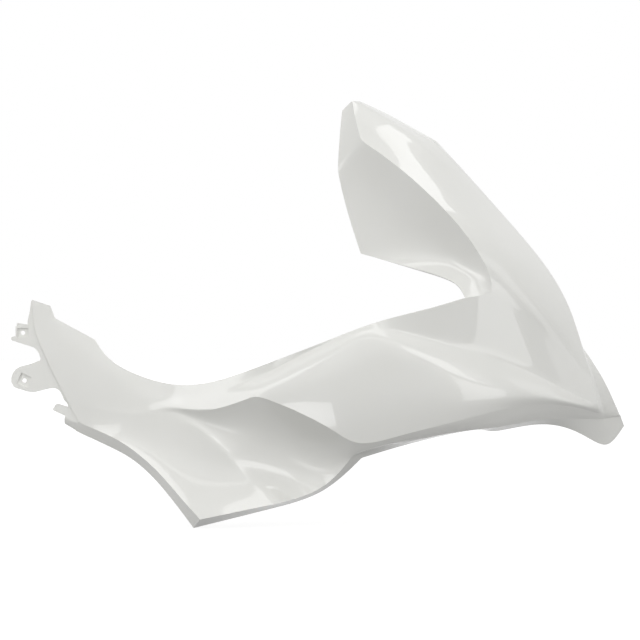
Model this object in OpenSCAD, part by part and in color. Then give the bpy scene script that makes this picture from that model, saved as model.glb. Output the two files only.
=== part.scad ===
// Right front panel of a scooter: one moulded shell with two screw ears at its rear end.
// The origin is the centre of the lower ear's screw hole, on the floor of its pocket, where
// the screw head bears.
// X runs towards the front of the vehicle, Z is up, and the outside of the panel faces -Y.

/* [Shell] */
// Thickness of the moulded wall
wall_t = 2.5; // [2:0.1:3]
// How far the outside stands out, as a share of the real panel
bulge = 1; // [0.8:0.05:1.1]
// How often each patch of the shape is halved to smooth it
smoothing = 2; // [1:1:3]

/* [Ears] */
// Diameter of the two screw holes
screw_hole_d = 5.5; // [4:0.1:7]
// Depth of the pocket that each screw head sits in
pocket_depth = 2.5; // [1:0.1:3]
// Width of the square pocket in the lower ear
lower_pocket_w = 15; // [13:0.5:16]
// Turn of the square pocket in the lower ear, in degrees
lower_pocket_turn = -24; // [-30:1:0]
// Width of the pocket in the upper ear
upper_pocket_w = 14; // [10:0.5:15]
// Height of the pocket in the upper ear
upper_pocket_h = 12; // [9:0.5:13]

/* [Bosses] */
// Outer diameter of the screw bosses on the back
boss_d = 10; // [8:0.5:12]
// Diameter of the pilot hole in each boss
pilot_d = 4.2; // [3:0.1:5]
// Depth of the pilot hole in each boss
pilot_depth = 18; // [8:1:20]
// Reach of the gussets that brace each boss
gusset_reach = 9; // [6:0.5:10]
// Thickness of each gusset
gusset_t = 1.6; // [1.2:0.1:2]

/* [Hidden] */
// Strips that one patch of the shape is split into
fine = pow(2, smoothing);
// Distance that the flange lies behind the outside of the wing
joggle = 2;
// Amount by which fused bodies run into each other
overlap = 0.5;
// Facets on a full circle
round_fn = 48;
// Sharpness of an edge that never softens
sharp = 9;
// Depth of the turned edge under the tongue
hem_depth = 6;
// Screw hole of the upper ear, as [x, z]
upper_hole = [-2, 62];
// Screw bosses on the back as [x, z, foot, end, tilt towards X, tilt towards Z]. Foot and end
// are places along Y, the foot is inside the wall, and the tilts are the wall's slopes there.
bosses = [
    [470, -22, -56.8, -30, 0.01, -0.09],
    [438, 232, -3.6, 22, -0.19, -0.16],
    [221, -117, -25.9, 0, 0.07, 0.26]];

// The shape is a grid of lines that run from the ears towards the nose, each point as
// [along, up, out]. Every line crosses the same stations, so point n of one line lies
// next to point n of the other.
hem_edge = [
    [66, -65, -6], [75, -70, -6], [87, -75, -5], [113, -87, 0], [140, -100, 6],
    [169, -125, 14], [195, -156, 23], [221, -190, 31], [328, -164, 19], [357, -157, 2],
    [388, -145, -3], [416, -123, 2], [438, -100, 20], [489, -84, 21], [547, -70, 17],
    [593, -62, 9], [606, -67, 5], [625, -64, 0], [677, -54, -19], [719, -65, -37],
    [751, -86, -60], [767, -87, -64], [785, -61, -72]];
hem_fold = [
    [70, -53, 2], [79, -58, 3], [92, -63, 6], [120, -75, 14], [144, -90, 21],
    [176, -117, 31], [202, -148, 41], [230, -178, 50], [329, -158, 36], [357, -152, 16],
    [386, -141, 10], [413, -116, 14], [433, -87, 34], [488, -81, 36], [546, -68, 34],
    [592, -62, 25], [612, -61, 20], [633, -57, 12], [676, -50, -6], [716, -50, -26],
    [750, -52, -48], [759, -51, -54], [780, -48, -66]];
sweep = [
    [67, -46, 2], [76, -49, 3], [89, -55, 5], [116, -66, 10], [139, -76, 14],
    [170, -92, 18], [200, -106, 22], [237, -124, 24], [298, -131, 24], [340, -127, 6],
    [378, -121, 3], [411, -106, 14], [434, -92, 38], [488, -78, 41], [545, -65, 39],
    [591, -57, 30], [611, -55, 25], [633, -51, 17], [676, -44, -2], [716, -46, -22],
    [750, -49, -45], [758, -49, -52], [780, -47, -65]];
ridge = [
    [62, -38, 2], [73, -39, 3], [84, -40, 5], [110, -46, 9], [134, -53, 12],
    [165, -51, 16], [199, -39, 21], [243, -73, 24], [270, -102, 23], [318, -86, 4],
    [364, -90, 6], [409, -92, 22], [434, -94, 41], [488, -75, 44], [545, -62, 42],
    [590, -53, 33], [611, -49, 28], [633, -46, 20], [676, -39, 2], [716, -42, -19],
    [749, -47, -43], [757, -47, -50], [779, -47, -64]];
dish = [
    [57, -29, 2], [68, -31, 3], [80, -33, 5], [106, -38, 9], [130, -44, 12],
    [163, -44, 16], [198, -37, 20], [243, -57, 17], [281, -63, 14], [314, -52, 18],
    [362, -66, 22], [408, -80, 34], [434, -90, 45], [487, -72, 47], [544, -59, 45],
    [590, -49, 36], [611, -44, 31], [633, -40, 23], [676, -34, 5], [716, -38, -16],
    [748, -44, -40], [757, -45, -49], [778, -45, -63]];
scoop_edge = [
    [53, -21, 2], [64, -23, 3], [77, -26, 5], [103, -31, 8], [127, -36, 11],
    [162, -38, 15], [196, -34, 21], [239, -41, 30], [280, -27, 39], [303, -18, 46],
    [360, -40, 51], [407, -66, 51], [433, -86, 48], [486, -70, 50], [543, -56, 47],
    [589, -44, 39], [610, -39, 34], [633, -34, 26], [676, -29, 8], [715, -34, -13],
    [746, -42, -37], [757, -43, -48], [777, -43, -62]];
belly = [
    [40, 5, 2], [52, 3, 3], [66, 0, 5], [95, -9, 8], [122, -18, 10],
    [160, -30, 14], [194, -31, 20], [240, -35, 29], [278, -22, 38], [307, -14, 45],
    [361, -16, 55], [403, -18, 60], [437, -21, 61], [486, -22, 61], [541, -22, 56],
    [585, -21, 47], [607, -21, 41], [632, -21, 33], [675, -22, 14], [715, -31, -9],
    [748, -39, -35], [755, -39, -46], [775, -38, -60]];
shoulder = [
    [26, 34, 2], [40, 30, 3], [56, 26, 5], [90, 13, 7], [117, -1, 9],
    [159, -21, 13], [199, -27, 19], [242, -26, 28], [277, -14, 37], [309, -4, 43],
    [360, 18, 51], [403, 38, 56], [443, 57, 57], [488, 47, 58], [537, 29, 53],
    [578, 12, 44], [602, 4, 39], [630, -4, 31], [673, -14, 14], [714, -27, -9],
    [748, -36, -34], [755, -35, -45], [772, -32, -58]];
wedge_foot = [
    [12, 65, 2], [31, 59, 3], [48, 51, 4], [87, 34, 6], [113, 14, 8],
    [156, -9, 11], [202, -20, 17], [243, -16, 26], [277, -5, 34], [311, 8, 34],
    [358, 34, 39], [403, 53, 45], [445, 69, 53], [484, 66, 48], [534, 53, 41],
    [578, 42, 32], [601, 37, 27], [628, 27, 19], [670, 6, 6], [711, -17, -12],
    [748, -32, -33], [753, -29, -43], [768, -23, -54]];
top_edge = [
    [10, 105, 2], [34, 97, 2], [40, 81, 2], [92, 53, 4], [108, 26, 6],
    [152, 4, 9], [199, -8, 15], [243, -3, 24], [280, 9, 31], [312, 21, 36],
    [358, 38, 41], [403, 56, 45], [443, 72, 45], [481, 83, 50], [529, 94, 48],
    [571, 107, 44], [589, 110, 42], [607, 114, 39], [649, 86, 22], [693, 46, -3],
    [737, 13, -28], [742, 10, -36], [753, 8, -44]];
// The horn goes on from the end of the gap, so its lines start at a later station
horn_start = 15;
horn = [
    [[564, 124, 39], [584, 129, 32], [604, 135, 41], [649, 103, 27], [693, 70, 0],
     [727, 44, -36], [728, 44, -46], [729, 42, -48]],
    [[543, 135, 30], [569, 147, 21], [592, 161, 43], [634, 138, 27], [676, 116, -6],
     [712, 99, -46], [713, 99, -56]],
    [[490, 150, 9], [533, 172, 8], [566, 198, 43], [606, 182, 26], [646, 166, -10],
     [680, 154, -52], [681, 154, -62]],
    [[437, 165, 0], [485, 203, 6], [529, 238, 41], [563, 230, 22], [595, 222, -13],
     [623, 219, -54], [624, 219, -64]],
    [[417, 226, -1], [448, 252, 9], [482, 280, 36], [511, 281, 20], [546, 282, -12],
     [563, 286, -50], [564, 286, -60]],
    [[407, 273, 5], [421, 294, 14], [437, 311, 27], [476, 313, 15], [512, 314, -10],
     [537, 312, -40], [537, 313, -50]],
    [[410, 325, 3], [421, 333, 8], [430, 338, 16], [448, 342, 9], [465, 346, -7],
     [472, 348, -26], [472, 350, -36]],
    [[413, 351, -2], [420, 358, 0], [426, 363, 4], [430, 363, 0], [434, 363, -4],
     [437, 363, -8], [437, 363, -16]]];
body_lines = [
    hem_edge, hem_fold, sweep, ridge, dish, scoop_edge, belly, shoulder, wedge_foot,
    top_edge];
lines = concat(body_lines, horn);
stations = len(hem_edge);

// Creases along a line as [line, first station, last station, sharpness]
line_creases = [
    [1, 0, 22, sharp], [3, 6, 8, 2.5], [5, 7, 20, sharp], [5, 6, 7, 2], [7, 12, 14, 1],
    [8, 9, 20, 3], [8, 7, 9, 1], [9, 15, 18, sharp], [9, 18, 19, 1], [15, 15, 17, 2]];
// Creases across the lines as [station, first line, last line, sharpness]
station_creases = [
    [7, 0, 1, sharp], [8, 1, 3, 2], [9, 5, 8, 1], [16, 10, 12, 1], [17, 9, 17, sharp],
    [18, 13, 16, 1], [19, 14, 17, 2], [20, 5, 17, sharp], [21, 1, 10, sharp]];
// Points that stay where they are, as [station, line]
corners = [
    [0, 0], [0, 1], [0, 9], [1, 9], [2, 9], [3, 9], [12, 0], [12, 1], [15, 13], [15, 17],
    [17, 17], [20, 5], [20, 17], [21, 1], [21, 15], [22, 0]];
// Strips kept of each patch, fewer where the shell is plain
station_cuts = [for (i = [0:stations - 2]) i < 2 || i == 20 ? 1 : i == 16 || i == 21 ? 2 : fine];
line_cuts = [for (j = [0:len(lines) - 2])
    j == 0 ? 1 : j < 5 || j == 9 || j == 16 ? 2 : fine];

// First station that a line crosses
function first_station(j) = j < len(body_lines) ? 0 : horn_start;
// Point of the cage in the panel's own frame
function place(p) = [p[0], -p[2] * bulge, p[1]];
// The cage as grid[station][line], undef where the gap or the outside is
cage = [for (i = [0:stations - 1]) [for (j = [0:len(lines) - 1])
    let (k = i - first_station(j)) k >= 0 && k < len(lines[j]) ? place(lines[j][k]) : undef]];

function add(v, i = 0) = i == len(v) - 1 ? v[i] : v[i] + add(v, i + 1);
function mean(v) = add(v) / len(v);
function is_in(g, i, j) = i >= 0 && j >= 0 && i < len(g) && j < len(g[0]);
function pick(g, i, j) = is_in(g, i, j) ? g[i][j] : undef;
// Sharpness of an edge of the cage, from the list for its direction
function cage_crease(list, line, at) =
    max([for (c = list) c[0] == line && at >= c[1] && at < c[2] ? c[3] : 0]);
// Sharpness left on an edge after k halvings
function crease(k, i, j, along) = let (n = pow(2, k), line = along ? j : i, at = along ? i : j)
    line % n > 0 ? 0
    : max(0, cage_crease(along ? line_creases : station_creases, line / n, floor(at / n)) - k);
function is_corner(k, i, j) = let (n = pow(2, k)) len([for (c = corners) if (c * n == [i, j]) 1]) > 0;

// Middle of each patch of four points
function centres(g) = [for (i = [0:len(g) - 2]) [for (j = [0:len(g[0]) - 2])
    let (q = [g[i][j], g[i + 1][j], g[i + 1][j + 1], g[i][j + 1]])
    len([for (p = q) if (is_undef(p)) 1]) > 0 ? undef : mean(q)]];

// Sharpness of the edge from a point, 1 or more at a rim, and undef where there's no edge
function edge_sharpness(f, k, i, j, along) =
    let (a = along ? pick(f, i, j - 1) : pick(f, i - 1, j), b = pick(f, i, j))
    is_undef(a) && is_undef(b) ? undef
    : is_undef(a) || is_undef(b) ? sharp : crease(k, i, j, along);

// New point in the middle of an edge
function edge_point(g, f, k, i, j, along) =
    let (s = edge_sharpness(f, k, i, j, along))
    is_undef(s) ? undef
    : let (mid = (g[i][j] + (along ? g[i + 1][j] : g[i][j + 1])) / 2)
    s >= 1 ? mid
    : let (soft = mid / 2 + (f[i][j] + (along ? f[i][j - 1] : f[i - 1][j])) / 4)
    soft + (mid - soft) * s;

// New place of a point that was there before
function kept_point(g, f, k, i, j) =
    let (p = g[i][j],
         ends = [[i, j, i + 1, j, true], [i - 1, j, i - 1, j, true],
                 [i, j, i, j + 1, false], [i, j - 1, i, j - 1, false]],
         edges = [for (e = ends) if (is_in(g, e[0], e[1]) && is_in(g, e[2], e[3]))
             let (s = edge_sharpness(f, k, e[0], e[1], e[4])) if (!is_undef(s)) [s, g[e[2]][e[3]]]],
         hard = [for (e = edges) if (e[0] > 0) e],
         around = [for (c = [[i, j], [i - 1, j], [i, j - 1], [i - 1, j - 1]])
             let (q = pick(f, c[0], c[1])) if (!is_undef(q)) q])
    is_undef(p) || is_corner(k, i, j) || len(hard) > 2 ? p
    : let (soft = len(around) < 4 ? p : mean(around) / 4 + p / 2 + mean([for (e = edges) e[1]]) / 4,
           fold = len(hard) == 2 ? (6 * p + hard[0][1] + hard[1][1]) / 8 : soft,
           s = len(hard) == 2 ? min(1, (hard[0][0] + hard[1][0]) / 2) : 0)
    soft + (fold - soft) * s;

// The grid with every patch split in four, for halving number k
function halved(g, k) =
    let (f = centres(g))
    [for (a = [0:2 * len(g) - 2]) [for (b = [0:2 * len(g[0]) - 2])
        let (i = floor(a / 2), j = floor(b / 2))
        a % 2 == 1 && b % 2 == 1 ? f[i][j]
        : a % 2 == 1 ? edge_point(g, f, k, i, j, true)
        : b % 2 == 1 ? edge_point(g, f, k, i, j, false)
        : kept_point(g, f, k, i, j)]];
function smoothed(g, k = 0) = k == smoothing ? g : smoothed(halved(g, k), k + 1);

// Numbers of the lines that are kept out of a smoothed grid
function kept_lines(cuts) = concat(
    [for (b = [0:len(cuts) - 1]) for (s = [0:cuts[b] - 1]) b * fine + s * fine / cuts[b]],
    [len(cuts) * fine]);
function thinned(g) =
    [for (i = kept_lines(station_cuts)) [for (j = kept_lines(line_cuts)) g[i][j]]];

// Direction that each patch faces, away from the outside
function facings(g) = [for (i = [0:len(g) - 2]) [for (j = [0:len(g[0]) - 2])
    let (a = g[i][j], b = g[i + 1][j], c = g[i + 1][j + 1], d = g[i][j + 1])
    is_undef(a) || is_undef(b) || is_undef(c) || is_undef(d) ? undef
    : let (n = cross(d - b, c - a)) n / norm(n)]];
// The grid moved inwards by the wall, with full thickness kept beside a fold
function inset(g, by) =
    let (f = facings(g))
    [for (i = [0:len(g) - 1]) [for (j = [0:len(g[0]) - 1])
        let (around = [for (c = [[i, j], [i - 1, j], [i, j - 1], [i - 1, j - 1]])
            let (q = pick(f, c[0], c[1])) if (!is_undef(q)) q])
        len(around) == 0 ? undef
        : let (n = mean(around)) g[i][j] + n * by / max(0.5, n * n)]];

// Solid between a grid and the same grid moved inwards
module sheet(g, by) {
    back = inset(g, by);
    filler = g[0][0];
    front_points = [for (column = g) for (p = column) is_undef(p) ? filler : p];
    back_points = [for (column = back) for (p = column) is_undef(p) ? filler : p];
    rows = len(g[0]);
    half = len(front_points);
    patch = facings(g);
    cells = [for (i = [0:len(g) - 2]) for (j = [0:rows - 2]) if (!is_undef(patch[i][j])) [i, j]];
    skin = [for (c = cells)
        let (a = c[0] * rows + c[1], b = a + rows,
             short = norm(front_points[a] - front_points[b + 1])
                 < norm(front_points[b] - front_points[a + 1]))
        each short ? [[a, a + 1, b + 1], [a, b + 1, b]] : [[a, a + 1, b], [b, a + 1, b + 1]]];
    rim = [for (c = cells)
        let (a = c[0] * rows + c[1], b = a + rows)
        each [
            if (is_undef(pick(patch, c[0], c[1] - 1))) [a, b],
            if (is_undef(pick(patch, c[0] + 1, c[1]))) [b, b + 1],
            if (is_undef(pick(patch, c[0], c[1] + 1))) [b + 1, a + 1],
            if (is_undef(pick(patch, c[0] - 1, c[1]))) [a + 1, a]]];
    polyhedron(
        points = concat(front_points, back_points),
        faces = concat(
            skin,
            [for (t = skin) [t[2] + half, t[1] + half, t[0] + half]],
            [for (e = rim) each [[e[0], e[1], e[1] + half], [e[0], e[1] + half, e[0] + half]]]));
}

// Plate that lies in the plane of the ears, drawn as [x, z] and as thick as the wall
module plate(start = 0, thick = wall_t) {
    translate([0, start + thick, 0]) rotate([90, 0, 0]) linear_extrude(thick) children();
}

// Cylinder along Y from one place to another
module rod(at, from, to, d) {
    translate([at[0], to, at[1]]) rotate([90, 0, 0]) cylinder(d = d, h = to - from, $fn = round_fn);
}

// Rear flange, one wall behind the wing, with both ears and the tongue
module flange_outline() {
    polygon([
        [9, 104], [7, 90], [4, 78], [4, 73], [-9, 75], [-10, 74], [-10, 58], [-16, 57], [-17, 56],
        [-17, 53], [-16, 52], [12, 43], [15, 41], [19, 35], [21, 29], [20, 26],
        [6, 21], [-6, 18], [-11, 15], [-15, 10], [-17, 4], [-17, -2], [-14, -8], [-10, -10],
        [3, -14], [8, -15], [14, -15], [26, -12], [34, -10], [40, -10], [44, -12], [47, -15],
        [52, -26], [56, -30], [57, -34], [44, -30], [41, -31], [37, -37], [38, -39],
        [53, -46], [66, -53], [76, -53], [62, -28], [38, 22], [22, 52], [16, 66], [18, 98]]);
}

// Turned edge that carries the hem on under the tongue
module flange_hem() {
    hull() {
        plate(0, wall_t) polygon([[53, -45], [72, -53], [74, -57], [52, -51]]);
        plate(hem_depth, joggle) polygon([[52, -53], [64, -60], [67, -65], [52, -56]]);
    }
}

// Square pocket that takes a screw head, from a start along Y
module lower_pocket(w, start, depth) {
    translate([0, start + depth, 0]) rotate([90, lower_pocket_turn, 0])
        translate([-w / 2, -w / 2, 0]) cube([w, w, depth]);
}
// Upright pocket in the upper ear, larger by grow for the walls round it
module upper_pocket(grow, start, depth) {
    w = upper_pocket_w + grow;
    h = upper_pocket_h + grow;
    translate([upper_hole[0] - w / 2, start, upper_hole[1] - h / 2]) cube([w, depth, h]);
}

module rear_flange() {
    difference() {
        union() {
            plate() flange_outline();
            flange_hem();
            lower_pocket(lower_pocket_w + 2 * wall_t, 0, wall_t + pocket_depth);
            upper_pocket(2 * wall_t, 0, wall_t + pocket_depth);
        }
        lower_pocket(lower_pocket_w, -overlap, pocket_depth + overlap);
        upper_pocket(0, -overlap, pocket_depth + overlap);
        rod([0, 0], -overlap, 2 * wall_t + pocket_depth, screw_hole_d);
        rod(upper_hole, -overlap, 2 * wall_t + pocket_depth, screw_hole_d);
    }
}

// Screw boss with its four gussets, whose feet follow the slope of the wall
module boss(b) {
    rod(b, b[2], b[3], boss_d);
    for (turn = [0:90:270]) {
        foot = b[2] + gusset_reach * (b[4] * cos(turn) + b[5] * sin(turn));
        translate([b[0], 0, b[1]]) rotate([0, -turn, 0]) translate([0, 0, -gusset_t / 2])
            linear_extrude(gusset_t) polygon([
                [0, b[2]], [gusset_reach, foot], [gusset_reach, foot + 2 * wall_t],
                [boss_d / 2, b[3] - wall_t], [0, b[3] - wall_t]]);
    }
}

module front_panel() {
    color("white") translate([0, -pocket_depth, 0]) difference() {
        union() {
            sheet(thinned(smoothed(cage)), wall_t);
            rear_flange();
            for (b = bosses) boss(b);
        }
        for (b = bosses) rod(b, b[3] - pilot_depth, b[3] + overlap, pilot_d);
    }
}

front_panel();
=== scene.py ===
# %% [markdown]
# # A scooter's front panel
# The real object is a single moulding: a body panel of ABS, about 80 cm long and only 2.5 mm
# thick, painted gloss white on the outside. Two screw ears hold it at the rear, a wing and a
# bulging cheek run forward to a nose, and a tall horn rises from the nose. The frame holds
# the solid that carries the screws. This script dresses it: a smooth shell with soft folds,
# paint that reflects like paint, and the soft light of a studio.

# %% Load the frame
import math

import bmesh
import bpy
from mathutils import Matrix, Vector
from mathutils.kdtree import KDTree


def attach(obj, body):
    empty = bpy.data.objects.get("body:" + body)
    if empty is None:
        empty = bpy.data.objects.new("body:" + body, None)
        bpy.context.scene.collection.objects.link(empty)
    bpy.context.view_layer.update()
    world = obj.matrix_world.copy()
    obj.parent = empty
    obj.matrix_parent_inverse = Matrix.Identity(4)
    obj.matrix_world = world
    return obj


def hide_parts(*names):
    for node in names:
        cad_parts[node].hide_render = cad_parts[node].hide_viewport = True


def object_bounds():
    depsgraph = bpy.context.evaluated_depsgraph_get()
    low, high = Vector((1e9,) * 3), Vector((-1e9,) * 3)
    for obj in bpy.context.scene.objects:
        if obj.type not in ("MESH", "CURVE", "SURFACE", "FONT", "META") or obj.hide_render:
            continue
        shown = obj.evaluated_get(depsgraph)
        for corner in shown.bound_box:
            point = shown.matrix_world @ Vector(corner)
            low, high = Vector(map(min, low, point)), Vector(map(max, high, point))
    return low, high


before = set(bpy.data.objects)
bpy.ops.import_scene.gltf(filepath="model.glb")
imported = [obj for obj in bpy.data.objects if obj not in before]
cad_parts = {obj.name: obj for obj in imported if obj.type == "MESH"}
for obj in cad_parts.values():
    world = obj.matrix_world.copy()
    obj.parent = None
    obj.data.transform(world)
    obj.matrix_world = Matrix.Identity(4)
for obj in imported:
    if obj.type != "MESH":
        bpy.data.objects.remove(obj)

cad_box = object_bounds()
mm = 0.001
print("frame box in metres:", [list(corner) for corner in cad_box])

# %% [markdown]
# ## The camera
# The photograph is a straight side view with almost no perspective, as a long lens gives from
# a few metres away. A nearer camera would swell the cheek, which stands out most, so the
# distance is chosen first and the focal length follows from the width that has to fit.

# %% Camera
photo_px = 640
px_size = 1.3 * mm
ear_hole_px = (24.5, 380.5)
camera_distance = 5.0
camera_data = bpy.data.cameras.new("side_camera")
camera_data.sensor_width = 36
camera_data.lens = camera_data.sensor_width * camera_distance / (photo_px * px_size)
camera = bpy.data.objects.new("side_camera", camera_data)
camera.location = ((photo_px / 2 - ear_hole_px[0]) * px_size, -camera_distance,
                   (ear_hole_px[1] - photo_px / 2) * px_size)
camera.rotation_euler = (math.radians(90), 0, 0)
bpy.context.scene.collection.objects.link(camera)
bpy.context.scene.camera = camera
print("lens", round(camera_data.lens), "mm at", camera_distance, "m")

# %% [markdown]
# ## The cage of the shell
# A sculpted panel is drawn by its character lines: the folds and edges that the eye follows
# from the ears to the nose. Each line below is one of them, point by point in millimetres as
# [along, up, out], and they all cross the same stations, so neighbouring lines make four-sided
# patches. Sculpting by hand could also give such a form, but a cage keeps every fold in
# one place, where it can be moved by a millimetre.

# %% Character lines
hem_edge = [
    [66, -65, -6], [75, -70, -6], [87, -75, -5], [113, -87, 0], [140, -100, 6],
    [169, -125, 14], [195, -156, 23], [221, -190, 31], [328, -164, 19], [357, -157, 2],
    [388, -145, -3], [416, -123, 2], [438, -100, 20], [489, -84, 21], [547, -70, 17],
    [593, -62, 9], [606, -67, 5], [625, -64, 0], [677, -54, -19], [719, -65, -37],
    [751, -86, -60], [767, -87, -64], [785, -61, -72]]
hem_fold = [
    [70, -53, 2], [79, -58, 3], [92, -63, 6], [120, -75, 14], [144, -90, 21],
    [176, -117, 31], [202, -148, 41], [230, -178, 50], [329, -158, 36], [357, -152, 16],
    [386, -141, 10], [413, -116, 14], [433, -87, 34], [488, -81, 36], [546, -68, 34],
    [592, -62, 25], [612, -61, 20], [633, -57, 12], [676, -50, -6], [716, -50, -26],
    [750, -52, -48], [759, -51, -54], [780, -48, -66]]
sweep = [
    [67, -46, 2], [76, -49, 3], [89, -55, 5], [116, -66, 10], [139, -76, 14],
    [170, -92, 18], [200, -106, 22], [237, -124, 24], [298, -131, 24], [340, -127, 6],
    [378, -121, 3], [411, -106, 14], [434, -92, 38], [488, -78, 41], [545, -65, 39],
    [591, -57, 30], [611, -55, 25], [633, -51, 17], [676, -44, -2], [716, -46, -22],
    [750, -49, -45], [758, -49, -52], [780, -47, -65]]
ridge = [
    [62, -38, 2], [73, -39, 3], [84, -40, 5], [110, -46, 9], [134, -53, 12],
    [165, -51, 16], [199, -39, 21], [243, -73, 24], [270, -102, 23], [318, -86, 4],
    [364, -90, 6], [409, -92, 22], [434, -94, 41], [488, -75, 44], [545, -62, 42],
    [590, -53, 33], [611, -49, 28], [633, -46, 20], [676, -39, 2], [716, -42, -19],
    [749, -47, -43], [757, -47, -50], [779, -47, -64]]
dish = [
    [57, -29, 2], [68, -31, 3], [80, -33, 5], [106, -38, 9], [130, -44, 12],
    [163, -44, 16], [198, -37, 20], [243, -57, 17], [281, -63, 14], [314, -52, 18],
    [362, -66, 22], [408, -80, 34], [434, -90, 45], [487, -72, 47], [544, -59, 45],
    [590, -49, 36], [611, -44, 31], [633, -40, 23], [676, -34, 5], [716, -38, -16],
    [748, -44, -40], [757, -45, -49], [778, -45, -63]]
scoop_edge = [
    [53, -21, 2], [64, -23, 3], [77, -26, 5], [103, -31, 8], [127, -36, 11],
    [162, -38, 15], [196, -34, 21], [239, -41, 30], [280, -27, 39], [303, -18, 46],
    [360, -40, 51], [407, -66, 51], [433, -86, 48], [486, -70, 50], [543, -56, 47],
    [589, -44, 39], [610, -39, 34], [633, -34, 26], [676, -29, 8], [715, -34, -13],
    [746, -42, -37], [757, -43, -48], [777, -43, -62]]
belly = [
    [40, 5, 2], [52, 3, 3], [66, 0, 5], [95, -9, 8], [122, -18, 10],
    [160, -30, 14], [194, -31, 20], [240, -35, 29], [278, -22, 38], [307, -14, 45],
    [361, -16, 55], [403, -18, 60], [437, -21, 61], [486, -22, 61], [541, -22, 56],
    [585, -21, 47], [607, -21, 41], [632, -21, 33], [675, -22, 14], [715, -31, -9],
    [748, -39, -35], [755, -39, -46], [775, -38, -60]]
shoulder = [
    [26, 34, 2], [40, 30, 3], [56, 26, 5], [90, 13, 7], [117, -1, 9],
    [159, -21, 13], [199, -27, 19], [242, -26, 28], [277, -14, 37], [309, -4, 43],
    [360, 18, 51], [403, 38, 56], [443, 57, 57], [488, 47, 58], [537, 29, 53],
    [578, 12, 44], [602, 4, 39], [630, -4, 31], [673, -14, 14], [714, -27, -9],
    [748, -36, -34], [755, -35, -45], [772, -32, -58]]
wedge_foot = [
    [12, 65, 2], [31, 59, 3], [48, 51, 4], [87, 34, 6], [113, 14, 8],
    [156, -9, 11], [202, -20, 17], [243, -16, 26], [277, -5, 34], [311, 8, 34],
    [358, 34, 39], [403, 53, 45], [445, 69, 53], [484, 66, 48], [534, 53, 41],
    [578, 42, 32], [601, 37, 27], [628, 27, 19], [670, 6, 6], [711, -17, -12],
    [748, -32, -33], [753, -29, -43], [768, -23, -54]]
top_edge = [
    [10, 105, 2], [34, 97, 2], [40, 81, 2], [92, 53, 4], [108, 26, 6],
    [152, 4, 9], [199, -8, 15], [243, -3, 24], [280, 9, 31], [312, 21, 36],
    [358, 38, 41], [403, 56, 45], [443, 72, 45], [481, 83, 50], [529, 94, 48],
    [571, 107, 44], [589, 110, 42], [607, 114, 39], [649, 86, 22], [693, 46, -3],
    [737, 13, -28], [742, 10, -36], [753, 8, -44]]
# The horn goes on from the end of the gap, so its lines start at a later station
horn_start = 15
horn = [
    [[564, 124, 39], [584, 129, 32], [604, 135, 41], [649, 103, 27], [693, 70, 0],
     [727, 44, -36], [728, 44, -46], [729, 42, -48]],
    [[543, 135, 30], [569, 147, 21], [592, 161, 43], [634, 138, 27], [676, 116, -6],
     [712, 99, -46], [713, 99, -56]],
    [[490, 150, 9], [533, 172, 8], [566, 198, 43], [606, 182, 26], [646, 166, -10],
     [680, 154, -52], [681, 154, -62]],
    [[437, 165, 0], [485, 203, 6], [529, 238, 41], [563, 230, 22], [595, 222, -13],
     [623, 219, -54], [624, 219, -64]],
    [[417, 226, -1], [448, 252, 9], [482, 280, 36], [511, 281, 20], [546, 282, -12],
     [563, 286, -50], [564, 286, -60]],
    [[407, 273, 5], [421, 294, 14], [437, 311, 27], [476, 313, 15], [512, 314, -10],
     [537, 312, -40], [537, 313, -50]],
    [[410, 325, 3], [421, 333, 8], [430, 338, 16], [448, 342, 9], [465, 346, -7],
     [472, 348, -26], [472, 350, -36]],
    [[413, 351, -2], [420, 358, 0], [426, 363, 4], [430, 363, 0], [434, 363, -4],
     [437, 363, -8], [437, 363, -16]]]
body_lines = [
    hem_edge, hem_fold, sweep, ridge, dish, scoop_edge, belly, shoulder, wedge_foot,
    top_edge]
lines = body_lines + horn
print(len(lines), "lines over", len(hem_edge), "stations")

# %% [markdown]
# ## Folds
# On a moulding some lines are crisp folds and others fade from crisp to soft along their
# length. A subdivision surface does both with one number per edge. Each fold below is given
# as the line or station that it runs along, where it starts and ends, and its sharpness: the
# number of halvings that keep it sharp, and 10 for a fold that never softens.

# %% Folds and corners
always = 10
line_folds = [
    (1, 0, 22, always), (3, 6, 8, 2.5), (5, 7, 20, always), (5, 6, 7, 2), (7, 12, 14, 1),
    (8, 9, 20, 3), (8, 7, 9, 1), (9, 15, 18, always), (9, 18, 19, 1), (15, 15, 17, 2)]
station_folds = [
    (7, 0, 1, always), (8, 1, 3, 2), (9, 5, 8, 1), (16, 10, 12, 1), (17, 9, 17, always),
    (18, 13, 16, 1), (19, 14, 17, 2), (20, 5, 17, always), (21, 1, 10, always)]
corners = {
    (0, 0), (0, 1), (0, 9), (1, 9), (2, 9), (3, 9), (12, 0), (12, 1), (15, 13), (15, 17),
    (17, 17), (20, 5), (20, 17), (21, 1), (21, 15), (22, 0)}
pocket_depth = 2.5


def place(along, up, out):
    """Point of the cage in metres: out is towards the viewer, so it counts against Y."""
    return Vector((along, -out - pocket_depth, up)) * mm


def sharpness(a, b):
    """Sharpness of the cage edge from grid place a to b, each (station, line)."""
    along_line = a[1] == b[1]
    folds = line_folds if along_line else station_folds
    where, at = (a[1], a[0]) if along_line else (a[0], a[1])
    return max([s for w, first, last, s in folds if w == where and first <= at < last] + [0])


# %% [markdown]
# ## Small tools
# Every piece below is made the same way: an empty mesh is filled by a function, gets
# modifiers, and is then turned into plain faces, so that the next step can cut it.

# %% Mesh helpers
# Both finishes are slots of every piece from the start, so cutting and joining keeps them
paint = bpy.data.materials.new("gloss_white_paint")
moulded_abs = bpy.data.materials.new("moulded_abs")
bare_side = 1


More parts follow.
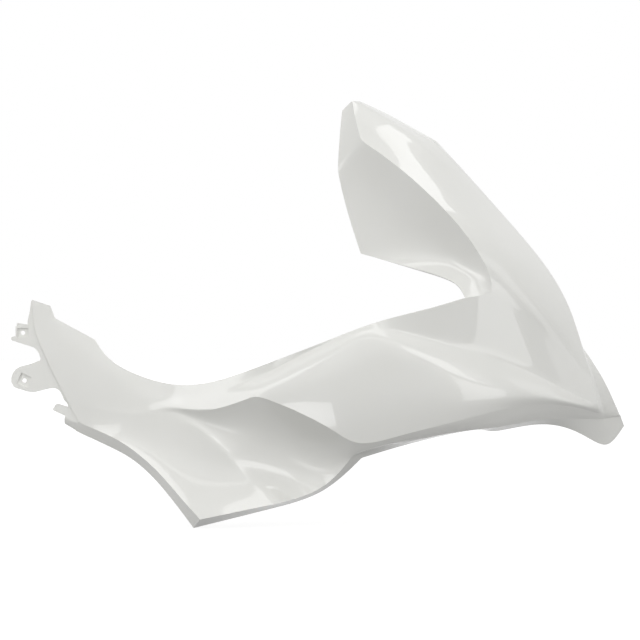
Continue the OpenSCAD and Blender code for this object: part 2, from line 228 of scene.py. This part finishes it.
def apply_all(piece):
    """Replace the piece's mesh by the one that its modifiers make."""
    graph = bpy.context.evaluated_depsgraph_get()
    done = bpy.data.meshes.new_from_object(piece.evaluated_get(graph))
    piece.modifiers.clear()
    piece.data = done


def modify(piece, kind, **settings):
    """Add one modifier with these settings and apply it."""
    made = piece.modifiers.new(kind.lower(), kind)
    for name, value in settings.items():
        setattr(made, name, value)
    apply_all(piece)


def round_edges(piece, radius, segments, sharpest):
    """Round every edge that turns by more than so many degrees."""
    modify(piece, "BEVEL", width=radius, segments=segments, limit_method="ANGLE",
           angle_limit=math.radians(sharpest))


def new_piece(name, fill, *details):
    """Object whose mesh is made by fill(bm, *details)."""
    mesh = bpy.data.meshes.new(name)
    bm = bmesh.new()
    fill(bm, *details)
    bm.to_mesh(mesh)
    bm.free()
    mesh.materials.append(paint)
    mesh.materials.append(moulded_abs)
    piece = bpy.data.objects.new(name, mesh)
    bpy.context.scene.collection.objects.link(piece)
    return piece


def combine(piece, tool, operation):
    """Join the tool to the piece or cut it away, and drop the tool."""
    modify(piece, "BOOLEAN", object=tool, operation=operation, solver="EXACT")
    bpy.data.objects.remove(tool)


# %% [markdown]
# ## The shell
# The cage becomes a mesh, Catmull-Clark subdivision smooths it, and Solidify gives it the
# thickness of the moulded wall, inwards from the painted side. The folds then get a small
# bevel, because a mould has no edge without a radius, and that radius is what catches
# the light along every fold of the real panel.

# %% Build the shell
wall = 2.5 * mm
shell_levels = 3
fold_radius = 0.8 * mm


def fill_cage(bm):
    """The cage's patches, with its folds and corners marked."""
    edge_crease = bm.edges.layers.float.new("crease_edge")
    corner_crease = bm.verts.layers.float.new("crease_vert")
    points = {}
    for line, row in enumerate(lines):
        first = 0 if line < len(body_lines) else horn_start
        for n, (along, up, out) in enumerate(row):
            points[first + n, line] = bm.verts.new(place(along, up, out))
    for i, j in list(points):
        ring = [(i, j), (i + 1, j), (i + 1, j + 1), (i, j + 1)]
        if all(spot in points for spot in ring):
            bm.faces.new([points[spot] for spot in ring])
    spots = {vert: spot for spot, vert in points.items()}
    for edge in bm.edges:
        a, b = sorted(spots[v] for v in edge.verts)
        # The subdivision takes a sharpness of 10 times the square of this value
        edge[edge_crease] = math.sqrt(sharpness(a, b) / always)
    for spot in corners:
        points[spot][corner_crease] = 1


shell = new_piece("shell", fill_cage)
modify(shell, "SUBSURF", levels=shell_levels, boundary_smooth="ALL")
modify(shell, "SOLIDIFY", thickness=wall, offset=-1, use_even_offset=True,
       thickness_clamp=2, material_offset=bare_side)
round_edges(shell, fold_radius, 3, 25)
print("shell has", len(shell.data.polygons), "faces")

# %% [markdown]
# ## The rear flange and its ears
# One wall behind the wing, the moulding steps down into a flat flange. Two ears grow out of
# it, each with a pocket that sinks a screw head, and a tongue below them guides the panel
# into its neighbour. Flat parts with holes are drawn as outlines and extruded, then
# cut with solid tools, which keeps every hole truly round.

# %% Outlines and tools
screw_hole_r = 2.75 * mm
lower_hole = (0, 0)
upper_hole = (-2, 62)
flange_outline = [
    (9, 104), (7, 90), (4, 78), (4, 73), (-9, 75), (-10, 74), (-10, 58), (-16, 57), (-17, 56),
    (-17, 53), (-16, 52), (12, 43), (15, 41), (19, 35), (21, 29), (20, 26),
    (6, 21), (-6, 18), (-11, 15), (-15, 10), (-17, 4), (-17, -2), (-14, -8), (-10, -10),
    (3, -14), (8, -15), (14, -15), (26, -12), (34, -10), (40, -10), (44, -12), (47, -15),
    (52, -26), (56, -30), (57, -34), (44, -30), (41, -31), (37, -37), (38, -39),
    (53, -46), (66, -53), (76, -53), (62, -28), (38, 22), (22, 52), (16, 66), (18, 98)]


def at(along, depth, up):
    """Point in metres from millimetres, with depth counted inwards from the flange's face."""
    return Vector((along, depth - pocket_depth, up)) * mm


def fill_sweep(bm, corners, move):
    """The flat outline through these corners, swept into a solid by the vector move."""
    face = bm.faces.new([bm.verts.new(corner) for corner in corners])
    swept = bmesh.ops.extrude_face_region(bm, geom=[face])
    moved = [v for v in swept["geom"] if isinstance(v, bmesh.types.BMVert)]
    bmesh.ops.translate(bm, verts=moved, vec=move)
    bmesh.ops.recalc_face_normals(bm, faces=bm.faces)


def fill_prism(bm, outline, start, end):
    """A plate with this outline, from depth start to depth end."""
    fill_sweep(bm, [at(x, start, z) for x, z in outline], Vector((0, end - start, 0)) * mm)


def fill_rod(bm, centre, start, end, radius):
    """A round rod along Y from depth start to depth end."""
    r = radius / mm
    turns = [math.tau * n / 48 for n in range(48)]
    ring = [(centre[0] + r * math.cos(t), centre[1] + r * math.sin(t)) for t in turns]
    fill_prism(bm, ring, start, end)


def fill_hull(bm, *slices):
    """The tightest skin round slices that are each an outline, a start and an end."""
    for outline, start, end in slices:
        for x, z in outline:
            bm.verts.new(at(x, start, z))
            bm.verts.new(at(x, end, z))
    made = bmesh.ops.convex_hull(bm, input=bm.verts)
    loose = [v for v in made["geom_interior"] if isinstance(v, bmesh.types.BMVert)]
    bmesh.ops.delete(bm, geom=loose, context="VERTS")


def turned_square(centre, width, turn):
    """Corners of a square, turned by so many degrees."""
    reach = width / math.sqrt(2)
    turns = [math.radians(turn + corner) for corner in (45, 135, 225, 315)]
    return [(centre[0] + reach * math.cos(t), centre[1] + reach * math.sin(t)) for t in turns]


def rectangle(centre, width, height):
    """Corners of an upright rectangle."""
    x, z, w, h = *centre, width / 2, height / 2
    return [(x - w, z - h), (x + w, z - h), (x + w, z + h), (x - w, z + h)]


# %% Build the flange
# Sizes from here on are in millimetres, as in the outlines
plate_t = wall / mm
lower_size, lower_turn = 15, -24
upper_width, upper_height = 14, 12
lower_pocket = turned_square(lower_hole, lower_size, lower_turn)
lower_walls = turned_square(lower_hole, lower_size + 2 * plate_t, lower_turn)
upper_pocket = rectangle(upper_hole, upper_width, upper_height)
upper_walls = rectangle(upper_hole, upper_width + 2 * plate_t, upper_height + 2 * plate_t)
floor_depth = pocket_depth + plate_t
# The turned edge under the tongue runs from its top to its foot, 6 mm further in
hem_top = [(53, -45), (72, -53), (74, -57), (52, -51)]
hem_foot = [(52, -53), (64, -60), (67, -65), (52, -56)]

flange = new_piece("flange", fill_prism, flange_outline, 0, plate_t)
turned_edge = new_piece("hem", fill_hull, (hem_top, 0, plate_t), (hem_foot, 6, 8))
combine(flange, turned_edge, "UNION")
for walls in (lower_walls, upper_walls):
    combine(flange, new_piece("walls", fill_prism, walls, 0, floor_depth), "UNION")
for pocket in (lower_pocket, upper_pocket):
    combine(flange, new_piece("pocket", fill_prism, pocket, -1, pocket_depth), "DIFFERENCE")
for hole in (lower_hole, upper_hole):
    drill = new_piece("drill", fill_rod, hole, -1, floor_depth + 1, screw_hole_r)
    combine(flange, drill, "DIFFERENCE")
round_edges(flange, 0.4 * mm, 2, 40)
for face in flange.data.polygons:
    faces_backwards = face.normal.y > 0.5
    if faces_backwards:
        face.material_index = bare_side
combine(shell, flange, "UNION")
print("with the flange:", len(shell.data.polygons), "faces")

# %% [markdown]
# ## Screw bosses
# Behind the cheek, the horn and the wing, a round post grows from the wall to take a
# self-tapping screw. Such a post is moulded with four thin gussets, because a thick foot
# would shrink as it cools and leave a dimple in the painted side. The wall slopes where the
# posts stand, so the feet of the gussets follow its slope.

# %% Build the bosses
# Each boss in millimetres as along, up, depth of its foot and of its end, and the wall's
# slope there, towards the nose and upwards
bosses = [
    (470, -22, -56.8, -30, 0.01, -0.09),
    (438, 232, -3.6, 22, -0.19, -0.16),
    (221, -117, -25.9, 0, 0.07, 0.26)]
boss_r = 5 * mm
pilot_r = 2.1 * mm
pilot_depth = 18
gusset_reach = 9
gusset_t = 1.6


def fill_gusset(bm, boss, turn):
    """A thin brace that stands on the wall and leans on the post."""
    along, up, foot, end, slope_x, slope_z = boss
    outwards = Vector((math.cos(turn), 0, math.sin(turn)))
    sideways = Vector((-math.sin(turn), 0, math.cos(turn)))
    far = foot + gusset_reach * (slope_x * outwards.x + slope_z * outwards.z)
    shoulder_depth = end - plate_t
    profile = [(0, foot), (gusset_reach, far), (gusset_reach, far + 2 * plate_t),
               (boss_r / mm, shoulder_depth), (0, shoulder_depth)]
    start = -sideways * gusset_t / 2 * mm
    corners = [at(along, depth, up) + outwards * r * mm + start for r, depth in profile]
    fill_sweep(bm, corners, sideways * gusset_t * mm)


for boss in bosses:
    centre, foot, end = boss[:2], boss[2], boss[3]
    post = new_piece("post", fill_rod, centre, foot, end, boss_r)
    for turn in (0, 90, 180, 270):
        combine(post, new_piece("gusset", fill_gusset, boss, math.radians(turn)), "UNION")
    drill = new_piece("drill", fill_rod, centre, end - pilot_depth, end + 1, pilot_r)
    combine(post, drill, "DIFFERENCE")
    round_edges(post, 0.3 * mm, 2, 40)
    for face in post.data.polygons:
        face.material_index = bare_side
    combine(shell, post, "UNION")
print("with the bosses:", len(shell.data.polygons), "faces")

# %% [markdown]
# ## Where the spray reached
# The panel was sprayed from outside, so its back is bare plastic with a mist of paint that
# came round the rim. The mist thins out over a few centimetres. The rim is where painted and
# bare faces meet, and the distance of every point from it is stored on the mesh, where the
# material can read it.

# %% Measure the distance from the rim
faces_at = {}
for face in shell.data.polygons:
    for vert in face.vertices:
        faces_at.setdefault(vert, set()).add(face.material_index)
rim = [shell.data.vertices[n].co for n, sides in faces_at.items() if len(sides) > 1]
rim_tree = KDTree(len(rim))
for n, spot in enumerate(rim):
    rim_tree.insert(spot, n)
rim_tree.balance()
distances = [rim_tree.find(vert.co)[2] for vert in shell.data.vertices]
rim_distance = shell.data.attributes.new("rim_distance", "FLOAT", "POINT")
rim_distance.data.foreach_set("value", distances)
print("farthest point is", round(max(distances) / mm), "mm from the rim")

# %% [markdown]
# ## Smooth shading
# Curved patches are shaded smooth and only real edges stay crisp. The bevels are narrow
# strips beside broad patches, so the normals are weighted by area: the broad patch then
# keeps its own direction and the whole turn falls into the bevel, as on the moulding.

# %% Shade the shell
for face in shell.data.polygons:
    face.use_smooth = True
shell.data.set_sharp_from_angle(angle=math.radians(40))
modify(shell, "WEIGHTED_NORMAL", keep_sharp=True, weight=50)

# %% [markdown]
# ## Materials
# Two finishes meet on this part. Both are dielectrics, so neither has any metal in it, and
# both get their life from roughness and bump more than from colour. One function adds a node
# with its settings and links, so each material reads as a short list of steps.

# %% Node helpers
def hex_colour(code):
    """Linear colour with alpha from an sRGB hex code such as "E8E8E3"."""
    shares = [int(code[n:n + 2], 16) / 255 for n in (0, 2, 4)]
    return (*[c / 12.92 if c <= 0.04045 else ((c + 0.055) / 1.055) ** 2.4 for c in shares], 1)


def add(tree, kind, *links, **settings):
    """New node. Each link is an input's name or number and the socket that feeds it, and
    each setting is the value of an input or else of a property of the node."""
    node = tree.nodes.new("ShaderNode" + kind)
    for name, value in settings.items():
        socket = node.inputs.get(name.replace("_", " "))
        if socket is None:
            setattr(node, name, value)
        else:
            socket.default_value = value
    for place_in, source in links:
        tree.links.new(source, node.inputs[place_in])
    return node


def start_material(material):
    """The material's tree, its Principled shader and its place on the object in metres."""
    material.use_nodes = True
    tree = material.node_tree
    spot = add(tree, "TexCoord").outputs["Object"]
    return tree, tree.nodes["Principled BSDF"], spot


# %% [markdown]
# ### Gloss white paint
# Sprayed acrylic base coat under a clear coat. The base coat is a warm white that scatters
# light like plaster, and the clear coat, IOR 1.5, mirrors the lamps in a thin film on
# top. Two things keep it from looking like glazed china: the film is a little thicker in some
# places, which shifts the tone by about one percent, and its surface has orange peel.

# %% Gloss white paint
tree, shader, spot = start_material(paint)
# Film thickness varies over about 60 mm, as the strokes of the gun overlap
strokes = add(tree, "TexNoise", ("Vector", spot), Scale=1 / (60 * mm), Detail=2)
tone = add(tree, "Mix", (0, strokes.outputs["Fac"]), data_type="RGBA")
tone.inputs[6].default_value = hex_colour("E8E8E3")
tone.inputs[7].default_value = hex_colour("EBEBE7")
tree.links.new(tone.outputs[2], shader.inputs["Base Color"])
# The base coat under the clear coat: satin, with dry and wet patches of about 15 mm
patches = add(tree, "TexNoise", ("Vector", spot), Scale=1 / (15 * mm), Detail=3)
satin = add(tree, "MapRange", ("Value", patches.outputs["Fac"]), To_Min=0.32, To_Max=0.38)
tree.links.new(satin.outputs["Result"], shader.inputs["Roughness"])
shader.inputs["IOR"].default_value = 1.5
shader.inputs["Coat Weight"].default_value = 1
shader.inputs["Coat Roughness"].default_value = 0.03
shader.inputs["Coat IOR"].default_value = 1.5
# Orange peel: real waves are 1 to 3 mm long, drawn 6 mm long so that they show at all
peel = add(tree, "TexNoise", ("Vector", spot), Scale=1 / (6 * mm), Detail=1)
waves = add(tree, "Bump", ("Height", peel.outputs["Fac"]), Strength=0.5, Distance=0.02 * mm)
tree.links.new(waves.outputs["Normal"], shader.inputs["Coat Normal"])
print("paint has", len(tree.nodes), "nodes")

# %% [markdown]
# ### Moulded ABS
# The back is the plastic itself, off-white ABS straight from a spark-eroded mould half, so it
# is matt with a fine grain. Near the rim the mist of white paint settles on it as a dry,
# rough dust that gets patchy before it ends.

# %% Moulded ABS
tree, shader, spot = start_material(moulded_abs)
# Spark erosion leaves craters of about 0.1 mm, drawn 1.5 mm wide so that they show
grain = add(tree, "TexNoise", ("Vector", spot), Scale=1 / (1.5 * mm), Detail=3)
flow = add(tree, "TexNoise", ("Vector", spot), Scale=1 / (90 * mm), Detail=3)
plastic = add(tree, "Mix", (0, flow.outputs["Fac"]), data_type="RGBA")
plastic.inputs[6].default_value = hex_colour("C9C7BE")
plastic.inputs[7].default_value = hex_colour("D6D4CC")
# Share of mist: full at the rim, none 35 mm away, and broken up by noise of 8 mm
from_rim = add(tree, "Attribute", attribute_name="rim_distance")
fade = add(tree, "MapRange", ("Value", from_rim.outputs["Fac"]), From_Min=2 * mm,
           From_Max=35 * mm, To_Min=1, To_Max=0)
dust = add(tree, "TexNoise", ("Vector", spot), Scale=1 / (8 * mm), Detail=5)
broken = add(tree, "Math", (0, fade.outputs["Result"]), (1, dust.outputs["Fac"]),
             operation="ADD")
mist = add(tree, "MapRange", ("Value", broken.outputs["Value"]), From_Min=0.7, From_Max=1.3)
colour = add(tree, "Mix", (0, mist.outputs["Result"]), (6, plastic.outputs[2]),
             data_type="RGBA")
colour.inputs[7].default_value = hex_colour("E8E8E3")
tree.links.new(colour.outputs[2], shader.inputs["Base Color"])
# Bare ABS is matt at 0.5 and the dry mist is rougher still
dry = add(tree, "MapRange", ("Value", mist.outputs["Result"]), To_Min=0.5, To_Max=0.68)
tree.links.new(dry.outputs["Result"], shader.inputs["Roughness"])
shader.inputs["IOR"].default_value = 1.54
craters = add(tree, "Bump", ("Height", grain.outputs["Fac"]), Strength=0.6,
              Distance=0.05 * mm)
tree.links.new(craters.outputs["Normal"], shader.inputs["Normal"])
print("plastic has", len(tree.nodes), "nodes")

# %% [markdown]
# ## Hand the panel over
# The finished shell takes the place of the solid in the frame and moves with its only body.

# %% Replace the solid
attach(shell, "root")
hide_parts("front_panel")
print("shell has", sum(len(f.vertices) - 2 for f in shell.data.polygons), "triangles")

# %% [markdown]
# ## Studio
# The panel was photographed for a catalogue, in front of plain white and between large
# softboxes. The background is white only where it is seen, directly or as a reflection. What
# it sends to the panel as soft light is set apart from that, so that the background can
# be pure white while the paint still shows its tones.

# %% White world and floor
def seen_share(tree):
    """Socket that is 1 for rays that show the background to the eye and 0 for soft light."""
    rays = add(tree, "LightPath").outputs
    either = add(tree, "Math", (0, rays["Is Camera Ray"]), (1, rays["Is Glossy Ray"]),
                 operation="MAXIMUM")
    return add(tree, "Math", (0, either.outputs[0]), (1, rays["Is Transmission Ray"]),
               operation="MAXIMUM").outputs[0]


soft_light = 0.59
world = bpy.data.worlds.new("white_studio")
bpy.context.scene.world = world
world.use_nodes = True
tree = world.node_tree
level = add(tree, "MapRange", ("Value", seen_share(tree)), To_Min=soft_light, To_Max=1)
background = tree.nodes["Background"]
background.inputs["Color"].default_value = (1, 1, 1, 1)
tree.links.new(level.outputs["Result"], background.inputs["Strength"])

bpy.ops.mesh.primitive_plane_add(size=40, location=(0.4, 0, cad_box[0][2]))
floor = bpy.context.object
floor.name = "studio_floor"
floor_paper = bpy.data.materials.new("floor_paper")
floor.data.materials.append(floor_paper)
floor_paper.use_nodes = True
tree = floor_paper.node_tree
tree.nodes.remove(tree.nodes["Principled BSDF"])
# The paper takes the shadow, and its glow is seen but lights nothing. The glow is weaker
# near the panel, where the lamps light the paper too.
paper = add(tree, "BsdfDiffuse", Color=(0.3, 0.3, 0.3, 1))
spot = add(tree, "TexCoord").outputs["Object"]
from_panel = add(tree, "VectorMath", (0, spot), operation="LENGTH")
# The distances are in metres
level = add(tree, "MapRange", ("Value", from_panel.outputs["Value"]), From_Min=1, From_Max=4,
            To_Min=0.8, To_Max=0.97)
seen_level = add(tree, "Math", (0, seen_share(tree)), (1, level.outputs["Result"]),
                 operation="MULTIPLY")
glow = add(tree, "Emission", ("Strength", seen_level.outputs[0]))
both = add(tree, "AddShader", (0, paper.outputs[0]), (1, glow.outputs[0]))
tree.links.new(both.outputs[0], tree.nodes["Material Output"].inputs["Surface"])
print("floor at", round(floor.location.z, 3), "m, soft light", soft_light)

# %% [markdown]
# ### Softboxes
# A gloss surface is shown by what it mirrors. Large dim boxes give the soft tones, and narrow
# strips draw the bright lines along the ridge, the shoulder, the horn and the gap. Two small
# cards stand so near that they are set to show only in the clear coat: they draw the
# window-shaped patches on the cheek and the wedge, and leave the soft tones alone. The left
# one has a grid in front, as photographers use, so the scoop beside its patch stays plain.

# %% Softboxes
# 1 is the radiance of the white background. The lamps that draw the highlights are placed by
# the direction in which the panel mirrors them towards the camera.
panel_centre = (0.4, 0, 0.05)
cheek = (0.5, 0, 0.05)
shoulder_end = (0.35, 0, 0)
horn_middle = (0.5, 0, 0.28)


def seen_from(target, azimuth, elevation, distance):
    """Place that many metres from the target, turned right and up from the camera's side."""
    turn, rise = math.radians(azimuth), math.radians(elevation)
    away = Vector((math.sin(turn) * math.cos(rise), -math.cos(turn) * math.cos(rise),
                   math.sin(rise)))
    return Vector(target) + distance * away


# Each lamp as place and size in metres, radiance of its front, target, and for a card with a
# grid the width of its beam in degrees. A grid gathers the same light into a narrow beam, so
# that card needs far less.
softboxes = {
    "front_box": ((0.4, -3.0, 0.9), (2.0, 1.0), 0.5, panel_centre),
    "right_box": ((2.8, -1.0, 0.6), (1.0, 1.6), 0.8, panel_centre),
    "left_box": ((-0.8, -1.4, 0.45), (1.0, 0.9), 2.1, (0.1, 0, 0)),
    "far_left_box": ((-2.0, -1.9, 0.1), (1.0, 1.4), 1.0, panel_centre),
    "key_box": (seen_from(cheek, 27, 22, 3), (1.2, 0.8), 0.8, panel_centre),
    "key_strip": (seen_from(cheek, 24, 20, 2), (0.7, 0.35), 2.1, panel_centre),
    "front_strip": ((0.2, -1.5, 0.85), (1.3, 0.16), 1.3, (0.25, 0, -0.05)),
    "top_strip": (seen_from(shoulder_end, -3, 49, 2.2), (1.3, 0.45), 2.3, shoulder_end),
    "top_left_strip": (seen_from(shoulder_end, -45, 48, 2.2), (0.9, 0.45), 0.7, shoulder_end),
    "horn_strip": (seen_from(horn_middle, 78, 51, 1.8), (1.1, 0.45), 2.4, horn_middle)}
cards = {
    "right_card": ((0.97, -0.6, -0.045), (0.30, 0.39), 1.8, (0.97, 0, -0.045)),
    "left_card": ((0.28, -0.35, -0.142), (0.16, 0.09), 0.25, (0.55, 0.65, 0.28), 50)}


def softbox(name, place, size, radiance, target, spread=180):
    """A rectangular lamp that faces the target. Its grid holds the beam to spread degrees."""
    data = bpy.data.lights.new(name, "AREA")
    data.shape = "RECTANGLE"
    data.size, data.size_y = size
    data.spread = math.radians(spread)
    data.energy = radiance * math.pi * size[0] * size[1]
    lamp = bpy.data.objects.new(name, data)
    lamp.location = place
    lamp.rotation_euler = (Vector(target) - Vector(place)).to_track_quat("-Z", "Y").to_euler()
    bpy.context.scene.collection.objects.link(lamp)
    return lamp


for name, details in softboxes.items():
    softbox(name, *details)
for name, details in cards.items():
    softbox(name, *details).visible_diffuse = False
# A last box fills the back. It isn't mirrored, or else it would wash out the horn's edge
softbox("rear_box", (0.4, 2.2, 1.4), (2.4, 1.2), 1.0, panel_centre).visible_glossy = False
print(len(softboxes) + 1, "softboxes and", len(cards), "cards")

# %% [markdown]
# ## The view transform
# Colours are shown with the Standard view transform.

# %% Finish
bpy.context.scene.view_settings.view_transform = "Standard"
